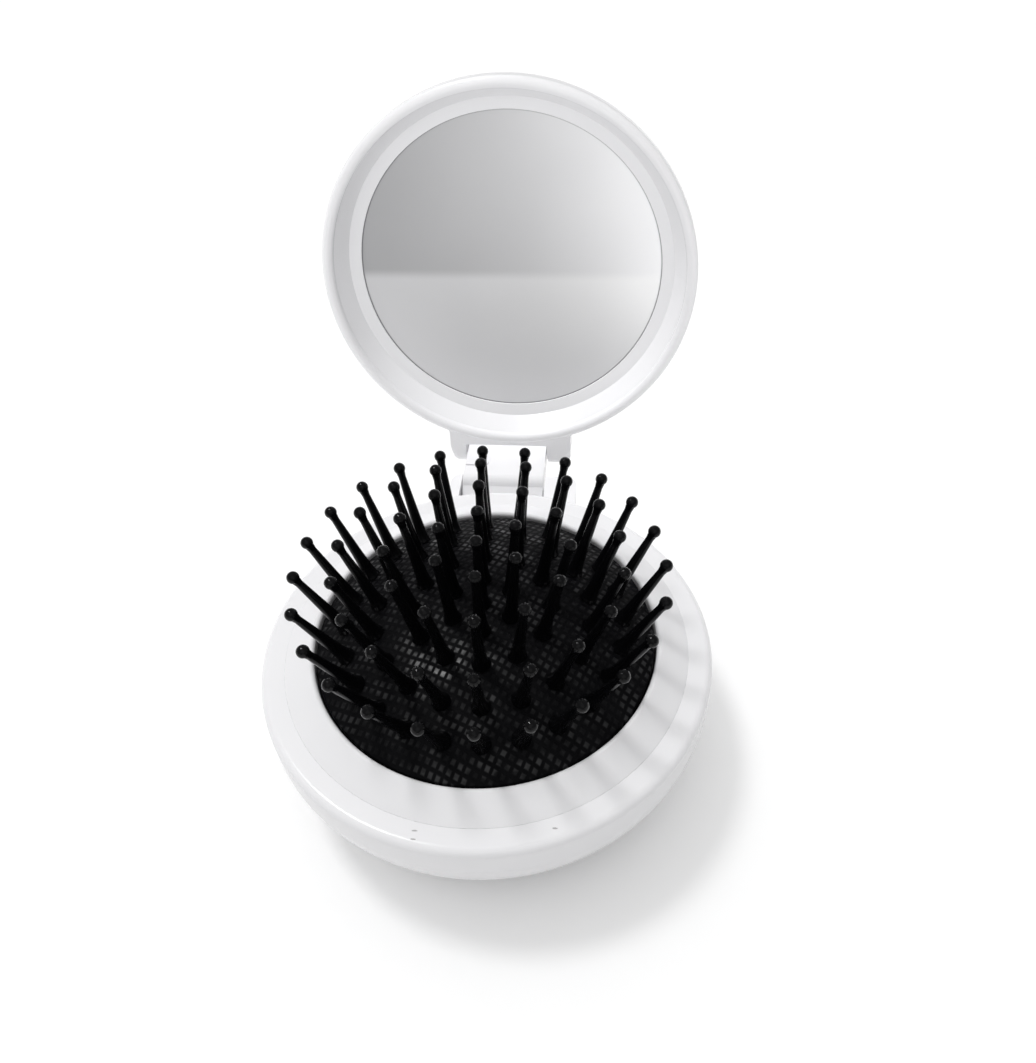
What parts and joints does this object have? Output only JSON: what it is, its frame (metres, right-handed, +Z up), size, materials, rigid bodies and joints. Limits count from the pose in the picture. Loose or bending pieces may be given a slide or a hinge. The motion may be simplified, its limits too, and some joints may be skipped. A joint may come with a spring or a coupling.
{
  "type": "folding hairbrush with mirror",
  "caption": "Round pocket hairbrush: a pop-up cushion of ball-tipped pins in a bowl-shaped base, with a round mirror lid on a short double hinge.",
  "frame": {"origin": "on the floor, at the centre of the round foot of the base", "axes": "+Z up out of the cushion, +Y towards the hinge and the standing lid, +X to the user's right"},
  "size_m": [0.07, 0.0977, 0.0854],
  "materials": {
    "white_shell": "glossy moulded white",
    "black_plastic": "matt moulded black",
    "cushion_rubber": "black rubber with a woven cloth look",
    "bristle_black": "glossy moulded black",
    "mirror": "flat silvered glass",
    "tape": "foam adhesive pad",
    "pin_steel": "drawn steel wire"
  },
  "bodies": {
    "base": {"base_shell": "white_shell", "guide_ring": "white_shell", "base_hinge_pin": "pin_steel"},
    "carriage": {"push_dish": "white_shell", "cushion_frame": "black_plastic", "cushion_pad": "cushion_rubber", "pins_outer_ring": "bristle_black", "pins_second_ring": "bristle_black", "pins_third_ring": "bristle_black", "pins_inner_ring": "bristle_black", "pin_centre": "bristle_black"},
    "link": {"hinge_link": "white_shell"},
    "lid": {"lid_shell": "white_shell", "lid_bezel": "white_shell", "mirror_glass": "mirror", "mirror_tape": "tape", "lid_hinge_pin": "pin_steel"}
  },
  "joints": [
    {"name": "link_hinge", "type": "hinge", "parent": "base", "child": "link", "pos_m": [0, 0.0395, 0.0154], "axis": [1, 0, 0], "range_deg": [0, 97.6]},
    {"name": "lid_hinge", "type": "hinge", "parent": "link", "child": "lid", "pos_m": [0, 0.05095, 0.0168], "axis": [1, 0, 0], "range_deg": [-82, 0.3]},
    {"name": "brush_pop", "type": "slide", "parent": "base", "child": "carriage", "axis": [0, 0, 1], "range_m": [-0.0172, 0], "deforming": ["pins_outer_ring"]}
  ],
  "couplings": [
    {"joint": "brush_pop", "follows": "link_hinge", "m_per_rad": -0.010097}
  ]
}
